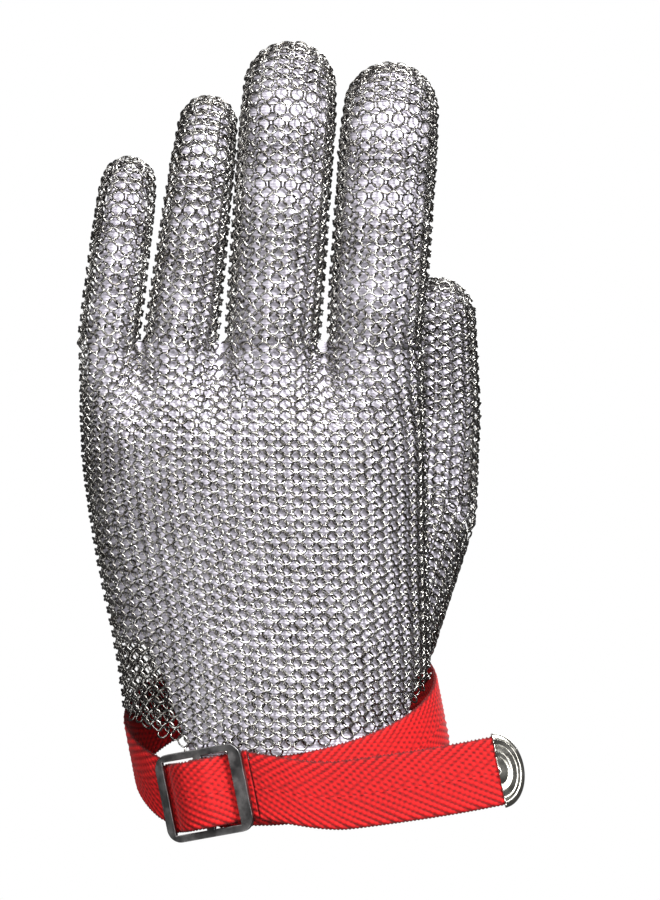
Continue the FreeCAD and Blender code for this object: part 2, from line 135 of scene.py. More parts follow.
def use_group(tree, group, **values):
    """A node that uses this group, with values set on its inputs by name."""
    node = tree.nodes.new("ShaderNodeGroup")
    node.node_tree = group
    for key, value in values.items():
        node.inputs[key.replace("_", " ")].default_value = value
    return node


def finish(name, **values):
    """A material with its Principled shader set by name; gives the material, its tree and the shader."""
    material = bpy.data.materials.new(name)
    material.use_nodes = True
    tree = material.node_tree
    shader = tree.nodes["Principled BSDF"]
    for key, value in values.items():
        shader.inputs[key.replace("_", " ")].default_value = value
    return material, tree, shader


# %% [markdown]
# ## Handling wear
# Steel that is washed and handled every day is never one even shine. This group puts out a mask and a
# roughness that change over a few millimetres: broad smears with fine grain in them. The ring steel, the
# slider and the strap's tip all use it with their own values.

# %% Wear group
wear_group, wear_in, wear_out = open_group(
    "handling wear",
    {"Size": 300.0, "Smooth": 0.2, "Rough": 0.4},
    {"Mask": "NodeSocketFloat", "Roughness": "NodeSocketFloat"},
)
place = add_node(wear_group, "ShaderNodeTexCoord")
smears = add_node(wear_group, "ShaderNodeTexNoise", Detail=4.0, Roughness=0.6)
spread = add_node(wear_group, "ShaderNodeMapRange", From_Min=0.35, From_Max=0.68)
rough = add_node(wear_group, "ShaderNodeMapRange")
wire(
    wear_group,
    (place, "Object", smears, "Vector"),
    (wear_in, "Size", smears, "Scale"),
    (smears, "Fac", spread, "Value"),
    (spread, "Result", rough, "Value"),
    (wear_in, "Smooth", rough, "To Min"),
    (wear_in, "Rough", rough, "To Max"),
    (spread, "Result", wear_out, "Mask"),
    (rough, "Result", wear_out, "Roughness"),
)

# %% [markdown]
# ## Ring steel
# The rings are bright stainless wire. Each ring has its own number from 0 to 1 in the attribute `tone`,
# and the shader turns it into a slightly lighter, darker or warmer steel, so that the mail sparkles
# unevenly.

# %% Ring steel
ring_steel, tree, shader = finish("ring steel", Metallic=1.0)
tone = add_node(tree, "ShaderNodeAttribute", attribute_name="tone")
tint = add_ramp(tree, (0.11, 0.10, 0.088), (0.55, 0.54, 0.52), (0.27, 0.26, 0.243), 0.45)
wear = use_group(tree, wear_group, Size=260.0, Smooth=0.16, Rough=0.34)
wire(
    tree,
    (tone, "Fac", tint, "Fac"),
    (tint, "Color", shader, "Base Color"),
    (wear, "Roughness", shader, "Roughness"),
)

# %% [markdown]
# ## The liner's knit
# Through the rings shows a fine pale knit. Its courses are far smaller than a ring, so one wave in the
# bump is enough, with a little blotching in the colour where the cloth is rubbed.

# %% Liner knit
liner_knit, tree, shader = finish("liner knit", Roughness=0.85, Sheen_Weight=0.1)
place = add_node(tree, "ShaderNodeTexCoord")
blotch = add_node(tree, "ShaderNodeTexNoise", Scale=70.0, Detail=3.0)
cloth = add_ramp(tree, (0.46, 0.43, 0.50), (0.60, 0.575, 0.65))
knit_rows = add_node(
    tree, "ShaderNodeTexWave", bands_direction="Z", Scale=420.0, Distortion=1.2, Detail=1.0
)
relief = add_node(tree, "ShaderNodeBump", Strength=0.5, Distance=0.0002)
wire(
    tree,
    (place, "Object", blotch, "Vector"),
    (blotch, "Fac", cloth, "Fac"),
    (cloth, "Color", shader, "Base Color"),
    (place, "Object", knit_rows, "Vector"),
    (knit_rows, "Fac", relief, "Height"),
    (relief, "Normal", shader, "Normal"),
)

# %% [markdown]
# ## The webbing's yarn
# The strap is woven in a herringbone. The diagonal ribs are real geometry, made further down; the shader
# adds what is smaller than a rib: the twisted yarns along it, and paler patches where threads are rubbed.
# It also paints shade into the red: darker in the valleys between the ribs and lighter on their crests.
# Each strip carries an attribute, rib, that says how far a point stands on a rib or down between two; the
# shader turns it into this painted shade and painted highlight.

# %% Webbing
red_yarn, tree, shader = finish(
    "red webbing", Roughness=0.75, Specular_IOR_Level=0.22, Sheen_Weight=0.08, Sheen_Roughness=0.4
)
# The rib height paints shade into the red: darker in the valleys, lighter on the crests.
rib_shade_value = add_node(tree, "ShaderNodeAttribute", attribute_name="rib")
place = add_node(tree, "ShaderNodeTexCoord")
grain = add_node(tree, "ShaderNodeTexNoise", Scale=900.0, Detail=2.0)
fading = add_node(tree, "ShaderNodeTexNoise", Scale=40.0, Detail=2.0)
yarn = add_ramp(tree, (0.06, 0.0008, 0.001), (0.68, 0.009, 0.009), (0.33, 0.003, 0.004), 0.42)
grain_and_rib_shade = add_node(tree, "ShaderNodeMath", operation="MULTIPLY_ADD")
grain_and_rib_shade.inputs[1].default_value = 0.25
fading_grain_and_rib_shade = add_node(tree, "ShaderNodeMath", operation="MULTIPLY_ADD")
fading_grain_and_rib_shade.inputs[1].default_value = 0.2
darker = add_node(tree, "ShaderNodeMath", operation="SUBTRACT")
darker.inputs[1].default_value = 0.22
fuzz = add_node(tree, "ShaderNodeBump", Strength=0.35, Distance=0.0001)
wire(
    tree,
    (place, "Object", grain, "Vector"),
    (place, "Object", fading, "Vector"),
    (grain, "Fac", grain_and_rib_shade, 0),
    (rib_shade_value, "Fac", grain_and_rib_shade, 2),
    (fading, "Fac", fading_grain_and_rib_shade, 0),
    (grain_and_rib_shade, "Value", fading_grain_and_rib_shade, 2),
    (fading_grain_and_rib_shade, "Value", darker, 0),
    (darker, "Value", yarn, "Fac"),
    (yarn, "Color", shader, "Base Color"),
    (grain, "Fac", fuzz, "Height"),
    (fuzz, "Normal", shader, "Normal"),
)

# %% [markdown]
# ## Slider and tip metal
# The slider is pressed plate with a dark nickel finish, satin where it is flat and worn brighter in
# smears. The tip is bright plated tin, with more contrast in its shine.

# %% Plate finishes
def plate_finish(name, low, high, **wear_values):
    """A plated metal whose colour and shine both follow the wear."""
    material, tree, shader = finish(name, Metallic=1.0)
    colours = add_ramp(tree, low, high)
    wear = use_group(tree, wear_group, **wear_values)
    wire(
        tree,
        (wear, "Mask", colours, "Fac"),
        (colours, "Color", shader, "Base Color"),
        (wear, "Roughness", shader, "Roughness"),
    )
    return material


gunmetal = plate_finish(
    "gunmetal", (0.15, 0.148, 0.148), (0.27, 0.265, 0.262), Size=220.0, Smooth=0.28, Rough=0.45
)
bright_plate = plate_finish(
    "bright plate", (0.50, 0.48, 0.42), (0.78, 0.76, 0.70), Size=180.0, Smooth=0.12, Rough=0.3
)
finishes = (ring_steel, liner_knit, red_yarn, gunmetal, bright_plate)
print("finishes:", [material.name for material in finishes])

# %% [markdown]
# ## Where the rings lie
# Linked rings lie in courses. All the rings of a course lean the same way, those of the next lean the
# other way and sit half a ring along, and that is what lets each ring pass through four others. So the
# whole glove can be laid out as rows of points on its surface, each with its outward normal and the
# direction of its row. The hand is a stack of rounded ovals, from the same sizes as the CAD model, that
# turn into four circles at the top. Each row of the form is a height in millimetres, then the left,
# right, back and front edges and how square the oval is.

# %% The hand's form
PITCH = 4.3  # from ring to ring along a course
COURSE = 1.55  # from course to course
RING_DEPTH = 1.0  # from the mail's outer face to the rings' centres
FORM = np.array([
    (-12, -39.6, 39.6, -35.5, 26.1, 2.0),
    (-1.5, -41, 40, -34, 26, 2.0),
    (27, -44.6, 41, -29, 25.5, 2.1),
    (52, -49.6, 40.5, -24, 22.5, 2.3),
    (78, -53.6, 40, -21.5, 21, 2.6),
    (100, -54.6, 39.6, -18, 17.5, 2.7),
    (112.5, -54.4, 39.8, -13.5, 13.5, 2.7),
])
FORM_SLOPES = np.gradient(FORM[:, 1:], FORM[:, 0], axis=0)
FINGERS = {
    "index": dict(place=25.6, lean=4, radii=(12.8, 13.3, 13.2, 13.2, 12.6), lengths=(14, 24, 19.5, 21.2)),
    "middle": dict(place=-2.2, lean=3.9, radii=(13, 13.1, 13.1, 13.1, 12.5), lengths=(14, 27, 21, 23)),
    "ring": dict(place=-27.2, lean=7, radii=(10.4, 10.1, 9.4, 8.8, 8), lengths=(11.5, 22, 17.5, 19.6)),
    "little": dict(place=-46.8, lean=7, radii=(8.2, 8.2, 8, 7.8, 7.2), lengths=(9.5, 15.5, 12.5, 15.2)),
}
CURLS = (5, 10, 15)
PALM_TOP = 112.5
HEEL, BASE = Vector((27, 4, 32)), Vector((40, 30, 66))
KNUCKLE, THUMB_END = Vector((42.6, 40, 95)), Vector((43, 46, 120.4))
VALLEYS = 84, 114  # the heights over which the back and the palm sink between the fingers


def smooth(value, low, high):
    """Climbs from 0 at low to 1 at high, level at both ends."""
    part = min(max((value - low) / (high - low), 0.0), 1.0)
    return part * part * (3 - 2 * part)


def finger_depth(x, inset):
    """How far the four round finger roots reach from the middle plane at this x."""
    reach = 0.0
    for one in FINGERS.values():
        radius = one["radii"][0] - inset
        off = abs(x - one["place"])
        if off < radius:
            reach = max(reach, math.sqrt(radius * radius - off * off))
    return max(reach, 1.2)


def hermite(t, gap, start, start_slope, end, end_slope):
    """A smooth curve's value at t, from 0 to 1, over a gap between two values with these slopes."""
    rising = (2 * t**3 - 3 * t**2 + 1) * start + (t**3 - 2 * t**2 + t) * gap * start_slope
    return rising + (3 * t**2 - 2 * t**3) * end + (t**3 - t**2) * gap * end_slope


def form_row(level):
    """The form's edges and squareness at this height, smoothly between the given rows."""
    k = min(max(int(np.searchsorted(FORM[:, 0], level)) - 1, 0), len(FORM) - 2)
    gap = FORM[k + 1, 0] - FORM[k, 0]
    t = (level - FORM[k, 0]) / gap
    return hermite(t, gap, FORM[k, 1:], FORM_SLOPES[k], FORM[k + 1, 1:], FORM_SLOPES[k + 1])


def hand_point(angle, height, inset):
    """A point of the hand's form; towards the top its back and palm sink between the fingers."""
    level = min(max(height, FORM[0][0]), PALM_TOP)
    left, right, back, front, power = form_row(level)
    wide, deep = (right - left) / 2 - inset, (front - back) / 2 - inset
    cosine, sine = math.cos(angle), math.sin(angle)
    x = (left + right) / 2 + wide * math.copysign(abs(cosine) ** (2 / power), cosine)
    y = deep * math.copysign(abs(sine) ** (2 / power), sine)
    sunk = smooth(level, *VALLEYS)
    if sunk > 0:
        limit = math.copysign(min(abs(y), finger_depth(x, inset)), y)
        y += (limit - y) * sunk
    return Vector((x, (front + back) / 2 + y, height))


def drape(x, height):
    """How far a course rides up on the little finger's side, where the mail hangs from the knuckles."""
    rise = 0.0019 * min(x - 10, 0) ** 2
    return rise * (1 - smooth(height, 40, PALM_TOP))


def hand_course(height, inset, count, shift):
    """Evenly spaced points round the hand on one course, the first at the thumb's side."""
    loop = []
    for degree in range(360):
        angle = 2 * math.pi * degree / 360
        x = hand_point(angle, height, inset).x
        loop.append(hand_point(angle, height + drape(x, height), inset))
    flat = np.array([(p.x, p.y) for p in loop + loop[:1]])
    along = np.concatenate([[0], np.cumsum(np.hypot(*np.diff(flat, axis=0).T))])
    full = np.array([tuple(p) for p in loop + loop[:1]])
    spots = (np.arange(count) + shift) / count * along[-1]
    return [Vector(row) for row in np.stack([np.interp(spots, along, full[:, k]) for k in range(3)], axis=1)]


girth = hand_course(60, RING_DEPTH, 360, 0)
around = sum((a - b).length for a, b in zip(girth, girth[1:] + girth[:1]))
print("round the palm at 60 mm:", round(around), "mm")

# %% [markdown]
# ## Fingers
# A finger of the glove is a tube that closes at the tip. Its middle line leans, then curls a little at
# each knuckle. The corners are rounded off so that the courses stay evenly spaced where it bends.


# %% Finger lines
class Line:
    """A curved middle line: places, directions and tube radii by the distance along it."""

    def __init__(self, start, headings, lengths, radii, dome, soften=5.0):
        """From a start, along each heading for its length; the dome is the radius of the round tip."""
        self.total = sum(lengths)
        self.dome = dome
        self.knots = np.concatenate([[0], np.cumsum(lengths)])
        self.radii = radii
        self.step = 0.25
        self.places = [start]
        self.ways = []
        count = int(self.total / self.step) + 1
        for index in range(count):
            spot = (index + 0.5) * self.step
            way = headings[0].copy()
            for knot, before, after in zip(self.knots[1:], headings, headings[1:]):
                way += (after - before) * smooth(spot, knot - soften, knot + soften)
            way.normalize()
            self.ways.append(way)
            self.places.append(self.places[-1] + way * self.step)

    def at(self, spot):
        """The place and the direction at this distance."""
        index = min(max(int(spot / self.step), 0), len(self.ways) - 1)
        way = self.ways[index]
        return self.places[index] + way * (spot - index * self.step), way

    def radius(self, spot):
        """The tube's radius at this distance."""
        return float(np.interp(spot, self.knots, self.radii))


def finger_line(name):
    """A finger's middle line: it leans to the side and curls at each knuckle."""
    one = FINGERS[name]
    lean = Matrix.Rotation(math.radians(one["lean"]), 3, "Y")
    turn, headings = 0, [lean @ Vector((0, 0, 1))]
    for curl in CURLS:
        turn -= curl
        headings.append(lean @ Matrix.Rotation(math.radians(turn), 3, "X") @ Vector((0, 0, 1)))
    lengths = list(one["lengths"])
    lengths[-1] -= one["radii"][-1]
    return Line(Vector((one["place"], 0, PALM_TOP)), headings, lengths, one["radii"], one["radii"][-1])


LINES = {name: finger_line(name) for name in FINGERS}
thumb_points = [HEEL, BASE, KNUCKLE, THUMB_END]
thumb_lengths = [(b - a).length for a, b in zip(thumb_points, thumb_points[1:])]
thumb_ways = [(b - a).normalized() for a, b in zip(thumb_points, thumb_points[1:])]
LINES["thumb"] = Line(HEEL, thumb_ways, thumb_lengths, (15, 13.6, 12.3, 10.6), 10.6)
for name, line in LINES.items():
    end, way = line.at(line.total)
    tip = [round(v, 1) for v in end + way * line.dome]
    print(name, "ends at", tip, "length", round(line.total + line.dome, 1))


def tube_course(line, spot, inset, count, shift):
    """Points round a finger on one course; past the line's end they climb over the round tip."""
    over = max(spot - line.total, 0)
    centre, way = line.at(min(spot, line.total))
    side = Vector((0, 1, 0)) - way * way.y
    side.normalize()
    across = side.cross(way)
    radius = line.radius(min(spot, line.total)) - inset
    rise = min(over / max(line.dome - inset, 1), math.pi / 2)
    course = []
    for index in range(count):
        angle = 2 * math.pi * (index + shift) / count
        outwards = across * math.sin(angle) - side * math.cos(angle)
        normal = outwards * math.cos(rise) + way * math.sin(rise)
        course.append((centre + normal * radius if over else centre + outwards * radius, normal))
    return course


# %% [markdown]
# ## Linking the rings
# The template ring is a torus of 12 by 4 faces, spun from a small circle. A mesh that is only points
# carries each ring's turn and tone, and Geometry Nodes puts a ring on every point. Real mail is never
# perfectly even, so each ring gets a small seeded push and twist.

# %% Ring maker
RING_RADIUS, WIRE = 1.74, 0.30
TILT = math.radians(28)
WOBBLE, TILT_WOBBLE, TWIST = 0.05, 0.045, 0.4  # millimetres, radians, radians
luck = random.Random(7)

ring_mesh = bpy.data.meshes.new("one ring")
sketch = bmesh.new()
turned = Matrix.Translation((RING_RADIUS * MM, 0, 0)) @ Matrix.Rotation(math.pi / 2, 4, "X")
section = bmesh.ops.create_circle(sketch, segments=4, radius=WIRE * MM, matrix=turned)
edges = list({edge for vert in section["verts"] for edge in vert.link_edges})
bmesh.ops.spin(
    sketch, geom=edges, cent=(0, 0, 0), axis=(0, 0, 1), angle=2 * math.pi, steps=12, use_merge=True
)
bmesh.ops.recalc_face_normals(sketch, faces=sketch.faces)
for face in sketch.faces:
    face.smooth = True
sketch.to_mesh(ring_mesh)
sketch.free()
ring_mesh.materials.append(ring_steel)
ring_object = add_object("one ring", ring_mesh)
print("one ring:", len(ring_mesh.polygons), "faces")

link_nodes = bpy.data.node_groups.new("rings on points", "GeometryNodeTree")
link_nodes.interface.new_socket("Geometry", in_out="INPUT", socket_type="NodeSocketGeometry")
link_nodes.interface.new_socket("Geometry", in_out="OUTPUT", socket_type="NodeSocketGeometry")
points_in = link_nodes.nodes.new("NodeGroupInput")
rings_out = link_nodes.nodes.new("NodeGroupOutput")
ring_source = add_node(link_nodes, "GeometryNodeObjectInfo", Object=ring_object)
turn_value = add_node(link_nodes, "GeometryNodeInputNamedAttribute", data_type="FLOAT_VECTOR", Name="turn")
to_turn = add_node(link_nodes, "FunctionNodeEulerToRotation")
on_points = add_node(link_nodes, "GeometryNodeInstanceOnPoints")
real = add_node(link_nodes, "GeometryNodeRealizeInstances")
wire(
    link_nodes,
    (points_in, "Geometry", on_points, "Points"),
    (ring_source, "Geometry", on_points, "Instance"),
    (turn_value, "Attribute", to_turn, "Euler"),
    (to_turn, "Rotation", on_points, "Rotation"),
    (on_points, "Instances", real, "Geometry"),
    (real, "Geometry", rings_out, "Geometry"),
)


def link_rings(name, rings):
    """One piece of mail from (place, outward normal, row direction, lean) of each ring, in millimetres."""
    mesh = bpy.data.meshes.new(name + " points")
    mesh.vertices.add(len(rings))
    turns, tones = [], []
    for index, (place, normal, row, lean) in enumerate(rings):
        push = Vector([luck.gauss(0, WOBBLE) for axis in "XYZ"])
        mesh.vertices[index].co = (place + push) * MM
        row = (row - normal * row.dot(normal)).normalized()
        tilt = lean * TILT + luck.gauss(0, TILT_WOBBLE)
        facing = (Matrix.Rotation(tilt, 3, row) @ normal).normalized()
        upright = facing.cross(row).normalized()
        spin = Matrix((row, upright, facing)).transposed()
        spin = spin @ Matrix.Rotation(luck.uniform(-TWIST, TWIST), 3, "Z")
        turns.extend(spin.to_euler("XYZ"))
        tones.append(min(max(luck.gauss(0.5, 0.2), 0), 1))
    mesh.attributes.new("turn", "FLOAT_VECTOR", "POINT").data.foreach_set("vector", turns)
    mesh.attributes.new("tone", "FLOAT", "POINT").data.foreach_set("value", tones)
    piece = add_object(name, mesh)
    piece.modifiers.new("rings", "NODES").node_group = link_nodes
    shown = piece.evaluated_get(bpy.context.evaluated_depsgraph_get())
    linked = bpy.data.meshes.new_from_object(shown)
    piece.modifiers.clear()
    piece.data = linked
    linked.name = name
    print(name, len(rings), "rings,", len(linked.polygons), "faces")
    return piece


def with_normals(courses):
    """Courses of (place, outward normal, row direction) from closed courses of plain points."""
    out = []
    for number, course in enumerate(courses):
        near = courses[max(number - 1, 0)], courses[min(number + 1, len(courses) - 1)]
        line = []
        for index, place in enumerate(course):
            ahead, behind = course[(index + 1) % len(course)], course[index - 1]
            row = (ahead - behind).normalized()
            below, above = (min(other, key=lambda p: (p - place).length) for other in near)
            up = above - below
            up -= row * up.dot(row)
            line.append((place, row.cross(up).normalized(), row))
        out.append(line)
    return out


# %% [markdown]
# ## The hand's mail
# The courses climb from the hem to the finger roots, fifty rings round. Low on the back a ring is kept if
# it hangs above the hem's curve and clear of the strap. On the palm side it is kept where the frame's own
# mail panels have their outer face, which leaves the foot of the thumb to its own courses and ends the
# mail at the strap. Above 82 mm every ring is kept. The back and the palm side are two pieces, as they
# are in the frame.

# %% Palm rings
PALM_COLUMNS = 50
LOWEST_COURSE = -11
LOW_BACK = 40  # below this height the back's mail ends at the hem
FULL_ROUND = 82  # above this height every ring is kept
PALM_HEM = 9
STRAP_ROOM = 1.1
# The hem's curve at the back: how far to the side, and the height there.
HEM = ((-44, 15), (-35, 8.6), (-21.6, 2.5), (-8, -1), (5.4, -0.5), (16, 2), (27, 6.8), (35, 13.5), (41, 23))


def surface_of(*nodes):
    """A tree that finds the nearest place on these pieces of the frame."""
    surface = bmesh.new()
    for node in nodes:
        surface.from_mesh(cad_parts[node].data)
    tree = BVHTree.FromBMesh(surface)
    surface.free()
    return tree


panels = surface_of("mail_back_panel", "mail_palm_panel")
strap_parts = surface_of("strap_band", "slide_buckle", "strap_tail")


def on_mail(place, normal, slack=1.0):
    """Whether the frame's panels have their outer face just outside this ring."""
    facing, distance = panels.find_nearest((place + normal * RING_DEPTH) * MM)[1::2]
    return distance is not None and distance < slack * MM and facing.dot(normal) > 0.2


def above_hem(place):
    """Whether a ring at the back hangs above the hem and clear of the strap and the slider."""
    sides, levels = zip(*HEM)
    free = strap_parts.find_nearest(place * MM)[3]
    return place.z > np.interp(place.x, sides, levels) and free > STRAP_ROOM * MM


def is_kept(place, normal, half):
    """Whether the hand's mail has a ring here."""
    if place.z > FULL_ROUND:
        return True
    if half == "back" and place.z < LOW_BACK:
        return above_hem(place)
    return place.z > PALM_HEM and on_mail(place, normal)


hand_courses = []
for number, height in enumerate(np.arange(LOWEST_COURSE, PALM_TOP, COURSE)):
    depth = RING_DEPTH - 0.3 * smooth(height, 98, 112)
    hand_courses.append(hand_course(height, depth, PALM_COLUMNS, 0.5 * (number % 2)))
hand_rings = {"back": [], "palm": []}
for number, course in enumerate(with_normals(hand_courses)):
    for place, normal, row in course:
        half = "back" if place.y < (-4 if place.z < 60 else 0) else "palm"
        if is_kept(place, normal, half):
            hand_rings[half].append((place, normal, row, 1 if number % 2 else -1))


TUBE_COURSE, FIRST_COURSE = 1.62, 0.6
LAST_RISE = 1.45  # how far up the round tip the last course lies, in radians
PAST_TIP = 200  # further along a line than any finger reaches


def tube_rings(line, low, high, wide, depth, kept=lambda place, normal: True):
    """The rings of a finger's courses between two distances; the courses lose rings over the round tip."""
    rings = []
    for number in range(int(low / TUBE_COURSE), int(min(high, PAST_TIP) / TUBE_COURSE) + 1):
        spot = number * TUBE_COURSE + FIRST_COURSE
        if not low <= spot < high:
            continue
        over = spot - line.total
        radius = line.radius(min(spot, line.total)) - depth
        count = wide
        if over > 0:
            rise = over / (line.dome - depth)
            if rise > LAST_RISE:
                continue
            count = max(round(2 * math.pi * radius * math.cos(rise) / PITCH), 3)
        points = tube_course(line, spot, depth, count, 0.5 * (number % 2))
        for index, (place, normal) in enumerate(points):
            row = points[(index + 1) % count][0] - points[index - 1][0]
            if kept(place, normal):
                rings.append((place, normal, row.normalized(), 1 if number % 2 else -1))
    return rings


heel_length = thumb_lengths[0]
hand_rings["palm"] += tube_rings(LINES["thumb"], 0, heel_length - 1, 20, RING_DEPTH, on_mail)
mail = {half: link_rings(f"mail_{half}_rings", rings) for half, rings in hand_rings.items()}
for piece, node in ((mail["back"], "mail_back_panel"), (mail["palm"], "mail_palm_panel")):
    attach(piece, "hand")
    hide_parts(node)

# %% [markdown]
# ## The fingers' mail
# Each finger is three pieces and the thumb two. Each piece covers one knuckle.

# %% Finger rings
FINGER_DEPTHS = {"index": 0.6, "middle": 0.8, "ring": 0.9, "little": 0.6, "thumb": 0.6}
COLUMNS = {"index": 18, "middle": 18, "ring": 14, "little": 11, "thumb": 17}


def knuckle_spans(name):
    """For each knuckle: its bodies, its node, the piece's span, and the span that bends, along the line."""
    knots = LINES[name].knots
    if name == "thumb":
        middle = (knots[1] + knots[2]) / 2
        bodies = ["hand", "thumb_proximal", "thumb_tip"]
        spans = [
            (knots[1] - 1, middle, knots[1] - 6, middle - 1),
            (middle, PAST_TIP, middle, knots[2] + 10),
        ]
    else:
        lower, upper = (knots[1] + knots[2]) / 2, (knots[2] + knots[3]) / 2
        last = knots[3] + 0.6 * (LINES[name].total - knots[3]) + 2
        bodies = ["hand", f"{name}_proximal", f"{name}_middle", f"{name}_tip"]
        spans = [(0, lower, 1.5, lower), (lower, upper, lower, upper), (upper, PAST_TIP, upper, last)]
    return [(a, b, "mail_" + b, *span) for a, b, span in zip(bodies, bodies[1:], spans)]


def bend_piece(piece, line, start, end):
    """Finds the line's places at both ends of the span, then bakes the piece's place into its mesh."""
    first, second = (line.at(spot)[0] * MM for spot in (start, end))
    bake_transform(piece)


for name in COLUMNS:
    for below, above, node, low, high, start, end in knuckle_spans(name):
        rings = tube_rings(LINES[name], low, high, COLUMNS[name], FINGER_DEPTHS[name])
        piece = link_rings(node + "_rings", rings)
        bend_piece(piece, LINES[name], start, end)
        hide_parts(node)
bpy.data.objects.remove(ring_object)

# %% [markdown]
# ## The liner
# Under the mail is a thin knitted glove. It follows the same form a little further in, so that the pale
# cloth shows through the rings. Its edge ends above the strap, except at the back, where it hangs down to
# the hem. Every course is a circle, and the circles are bridged into a skin, which is then given its
# thickness.

# %% Liner
LINER_DEPTH = 2.3
CLOTH = 0.6
CUFF = 31.5
CUFF_HANG = 31
HAND_SIDES, TUBE_SIDES = 96, 32


def skin_through(name, courses, close_top):
    """A smooth skin bridged through circles whose points are moved to the given courses, in millimetres."""
    mesh = bpy.data.meshes.new(name)
    knit = bmesh.new()
    circles = []
    for course in courses:
        circle = bmesh.ops.create_circle(knit, segments=len(course), radius=1)
        for vertex, place in zip(circle["verts"], course):
            vertex.co = place * MM
        circles.append(list({edge for vertex in circle["verts"] for edge in vertex.link_edges}))
    for lower, upper in zip(circles, circles[1:]):
        bmesh.ops.bridge_loops(knit, edges=lower + upper)
    if close_top:
        bmesh.ops.holes_fill(knit, edges=circles[-1], sides=0)
    bmesh.ops.recalc_face_normals(knit, faces=knit.faces)
    bmesh.ops.solidify(knit, geom=knit.faces, thickness=CLOTH * MM)
    for face in knit.faces:
        face.smooth = True
    knit.to_mesh(mesh)
    knit.free()
    mesh.materials.append(liner_knit)
    return add_object(name, mesh)


def cuff_course(level):
    """A course of the liner's hand; the lowest ones hang down at the back, but not by the little finger."""
    course = []
    for index in range(HAND_SIDES):
        angle = 2 * math.pi * index / HAND_SIDES
        place = hand_point(angle, level, LINER_DEPTH)
        at_back = smooth(-place.y, 2, 20) * smooth(place.x, -37, -26)
        hang = CUFF_HANG * at_back * (1 - smooth(level, CUFF, 70))
        course.append(hand_point(angle, level - hang, LINER_DEPTH))
    return course


def liner_tube(name, line, spots, close_top):
    """The skin of a finger or the thumb's heel through courses at these distances along its line."""
    courses = [
        [place for place, normal in tube_course(line, spot, LINER_DEPTH, TUBE_SIDES, 0)] for spot in spots
    ]
    return skin_through(name, courses, close_top)


levels = [*np.linspace(CUFF, 95, 22), *np.linspace(97, PALM_TOP + 0.5, 12)]
hand_liner = skin_through("liner_hand_knit", [cuff_course(level) for level in levels], False)
heel_liner = liner_tube("liner_heel_knit", LINES["thumb"], np.linspace(2, heel_length + 1, 10), False)
for piece in (hand_liner, heel_liner):
    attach(piece, "hand")
    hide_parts("liner_hand")

for name in COLUMNS:
    line = LINES[name]
    for below, above, node, low, high, start, end in knuckle_spans(name):
        tip = high > line.total
        top = line.total if tip else high + 0.5
        spots = list(np.linspace(low - 0.5, top, 14))
        if tip:
            dome = line.dome - LINER_DEPTH
            spots += [line.total + dome * rise for rise in np.linspace(0.15, 1.5, 9)]
        liner_node = node.replace("mail", "liner")
        piece = liner_tube(liner_node + "_knit", line, spots, tip)
        bend_piece(piece, line, start, end)
        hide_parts(liner_node)
lowest = min(place.z for place in cuff_course(CUFF))
print("the liner's edge at the back hangs to", round(lowest, 1), "mm")

# %% [markdown]
# ## The strap
# The webbing is a herringbone of thick red yarn. Its two slanting sets of ribs meet in points along the
# middle of the strap, and they stand out of both faces. The strip starts as a flat grid, is wrapped round
# the strap's thin section, and is then laid along the strap's line row by row. Its route is drawn in plan
# and leans with the strap. The fold and the sewn eye are drawn in the slider's own plan.

# %% Webbing strips
STRAP_WIDTH, STRAP_THICK = 19.0, 1.3
LOOP_SIDE, LOOP_DEPTH, LOOP_WIDE, LOOP_DEEP = 1.6, -1.0, 43.3, 30.5
SLIDER_ANGLE = 237
STRAP_UP = Vector((-0.2, 0, 1))
STRAP_LIFT = 8
RISE_SIDE, RISE_DEEP = 0.15, 0.5  # the strap's climb for each millimetre to the side and inwards
STEP = 1.6  # from the loop's line out to the slider's layer
SHEET_START = 2.55
BAR_DEEP, BAR_THICK = 2.4, 1.4
BAR_REACH = math.hypot(BAR_DEEP, BAR_THICK) / 2 + 0.25
BAR_CENTRE = SHEET_START + BAR_THICK / 2
CREST = BAR_CENTRE + BAR_REACH + 1.5 * STRAP_THICK + 0.3
SEAM, TAIL_START = -12.6, 14.6  # along the slider
RIB = 3.0
BEAD = 1.4


def loop_point(angle):
    """A point of the strap's loop in plan, at this angle in degrees."""
    turn = math.radians(angle)
    return Vector((LOOP_SIDE + LOOP_WIDE * math.cos(turn), LOOP_DEPTH + LOOP_DEEP * math.sin(turn), 0))


slider_spot = loop_point(SLIDER_ANGLE)
slider_ahead = (loop_point(SLIDER_ANGLE + 1) - loop_point(SLIDER_ANGLE - 1)).normalized()
slider_out = Vector((slider_ahead.y, -slider_ahead.x, 0))


def at_slider(along, out):
    """A point of the plan this far along the slider and out of it."""
    return slider_spot + slider_ahead * along + slider_out * out


def on_strap(spot):
    """The place on the strap's middle line that leans away from this point of its plan."""
    rise = (RISE_SIDE * spot.x + RISE_DEEP * spot.y) / (1 - RISE_SIDE * STRAP_UP.x)
    return spot + Vector((0, 0, STRAP_LIFT)) + STRAP_UP * rise


def strap_axes(ahead):
    """Along the strap, out of the glove and across the strap, where its plan heads this way."""
    upward = STRAP_UP.normalized()
    run = Vector((ahead.x, ahead.y, RISE_SIDE * ahead.x + RISE_DEEP * ahead.y))
    run = (run - upward * run.dot(upward)).normalized()
    return run, run.cross(upward), upward


